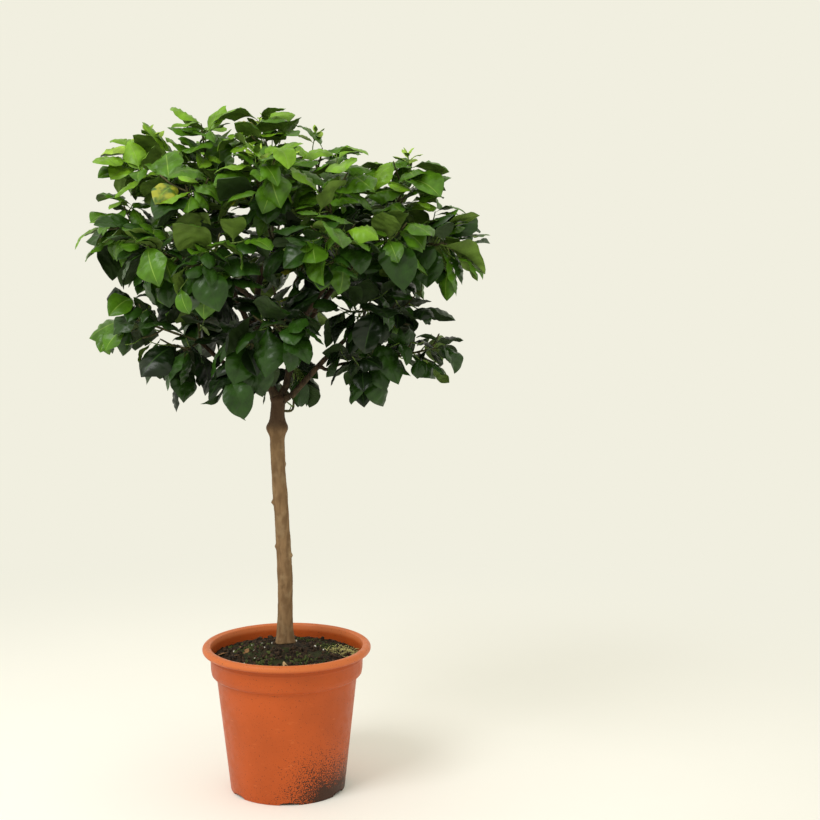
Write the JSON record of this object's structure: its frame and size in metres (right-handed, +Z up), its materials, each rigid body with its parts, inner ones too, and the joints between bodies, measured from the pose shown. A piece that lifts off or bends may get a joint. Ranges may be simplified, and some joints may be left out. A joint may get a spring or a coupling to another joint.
{
  "type": "potted bouquet de fleurs bitter orange tree",
  "caption": "Small standard bitter orange with a single clean stem, a round leafy crown and a round plastic grower's pot of soil.",
  "frame": {"origin": "middle of the pot's flat underside, on the ground", "axes": "+Z up along the trunk, +X to the right and +Y away from the viewer as the crown is seen in the picture"},
  "size_m": [0.5643, 0.4683, 0.9525],
  "materials": {
    "pot_plastic": "satin",
    "potting_soil": "matte",
    "grey_bark": "matte",
    "young_bark": "matte",
    "leaf_green": "satin"
  },
  "bodies": {
    "root": {"pot": "pot_plastic", "soil": "potting_soil", "trunk": "grey_bark", "bough_leader": "young_bark", "bough_mid_right": "young_bark", "bough_right": "young_bark", "bough_left": "young_bark", "bough_front": "young_bark", "bough_back": "young_bark", "bough_left_upper": "young_bark", "bough_back_left": "young_bark", "bough_front_left": "young_bark", "bough_right_upper": "young_bark", "bough_back_right": "young_bark", "bough_front_right": "young_bark", "bough_right_low": "young_bark", "foliage_top": "leaf_green", "foliage_top_front": "leaf_green", "foliage_top_back": "leaf_green", "foliage_top_left": "leaf_green", "foliage_top_mid_left": "leaf_green", "foliage_left": "leaf_green", "foliage_top_right": "leaf_green", "foliage_inner": "leaf_green", "foliage_right_top": "leaf_green", "foliage_far_right": "leaf_green", "foliage_right_middle": "leaf_green", "foliage_right_low": "leaf_green", "foliage_right_front_low": "leaf_green", "foliage_low_right": "leaf_green", "foliage_right_tip": "leaf_green", "foliage_front_right": "leaf_green", "foliage_front_top_right": "leaf_green", "foliage_front_top_left": "leaf_green", "foliage_front_left": "leaf_green", "foliage_front_middle": "leaf_green", "foliage_front_low": "leaf_green", "foliage_low_left": "leaf_green", "foliage_left_low": "leaf_green", "foliage_left_twig": "leaf_green", "foliage_left_middle": "leaf_green", "foliage_back": "leaf_green", "foliage_back_low": "leaf_green", "foliage_back_low_left": "leaf_green", "foliage_back_left": "leaf_green", "foliage_back_top_left": "leaf_green", "foliage_back_right": "leaf_green", "foliage_back_top_right": "leaf_green", "foliage_back_far_right": "leaf_green", "foliage_by_trunk": "leaf_green"}
  },
  "joints": []
}
